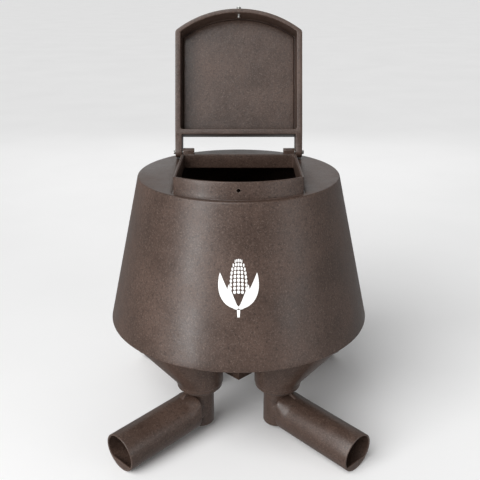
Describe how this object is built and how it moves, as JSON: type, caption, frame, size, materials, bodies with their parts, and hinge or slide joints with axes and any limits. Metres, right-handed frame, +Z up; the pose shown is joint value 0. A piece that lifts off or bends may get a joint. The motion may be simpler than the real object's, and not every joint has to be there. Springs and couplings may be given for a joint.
{
  "type": "game feeder",
  "caption": "Conical moulded feed hopper with a hinged fill lid, a central spin-motor port and swivelling gravity spouts that it stands on.",
  "frame": {"origin": "on the ground under the middle of the hopper", "axes": "+Z up, front (the lid's latch side when closed) towards -Y, +X to the right seen from the front"},
  "size_m": [0.7619, 0.762, 1.203],
  "materials": {
    "speckled_plastic": "dark brown moulded plastic with a fine pale speckle, slight sheen",
    "rubber": "matt black",
    "zinc": "zinc plated",
    "white_print": "white pad print"
  },
  "bodies": {
    "hopper": {"hopper_shell": "speckled_plastic", "hopper_floor": "speckled_plastic", "motor_column": "speckled_plastic", "chute_front_left": "speckled_plastic", "chute_front_right": "speckled_plastic", "chute_rear_left": "speckled_plastic", "chute_rear_right": "speckled_plastic", "port_cover": "speckled_plastic", "port_gasket": "rubber", "port_screws": "zinc", "spout_gaskets": "rubber", "hinge_bolts": "zinc", "hinge_inserts": "zinc", "hinge_washers": "zinc"},
    "lid": {"lid": "speckled_plastic", "latch_bushing": "zinc"},
    "latch": {"latch_pin": "zinc", "latch_clip": "zinc"},
    "spout_front_left": {"spout_front_left": "speckled_plastic", "spout_neck_front_left": "speckled_plastic", "locknut_front_left": "speckled_plastic"},
    "spout_front_right": {"spout_front_right": "speckled_plastic", "spout_neck_front_right": "speckled_plastic", "locknut_front_right": "speckled_plastic"},
    "spout_rear_left": {"spout_rear_left": "speckled_plastic", "spout_neck_rear_left": "speckled_plastic", "locknut_rear_left": "speckled_plastic"},
    "spout_rear_right": {"spout_rear_right": "speckled_plastic", "spout_neck_rear_right": "speckled_plastic", "locknut_rear_right": "speckled_plastic"}
  },
  "joints": [
    {"name": "lid_hinge", "type": "hinge", "parent": "hopper", "child": "lid", "pos_m": [0, 0.148, 0.79], "axis": [1, 0, 0], "range_deg": [0, 111]},
    {"name": "latch_pull", "type": "slide", "parent": "lid", "child": "latch", "axis": [0, 0.3584, 0.9336], "range_m": [0, 0.0074]},
    {"name": "swivel_front_left", "type": "hinge", "parent": "hopper", "child": "spout_front_left", "pos_m": [-0.11639, -0.11639, 0.146], "axis": [0, 0, 1], "range_deg": [-30, 30]},
    {"name": "swivel_front_right", "type": "hinge", "parent": "hopper", "child": "spout_front_right", "pos_m": [0.11639, -0.11639, 0.146], "axis": [0, 0, 1], "range_deg": [-30, 30]},
    {"name": "swivel_rear_left", "type": "hinge", "parent": "hopper", "child": "spout_rear_left", "pos_m": [-0.11639, 0.11639, 0.146], "axis": [0, 0, 1], "range_deg": [-30, 30]},
    {"name": "swivel_rear_right", "type": "hinge", "parent": "hopper", "child": "spout_rear_right", "pos_m": [0.11639, 0.11639, 0.146], "axis": [0, 0, 1], "range_deg": [-30, 30]}
  ]
}
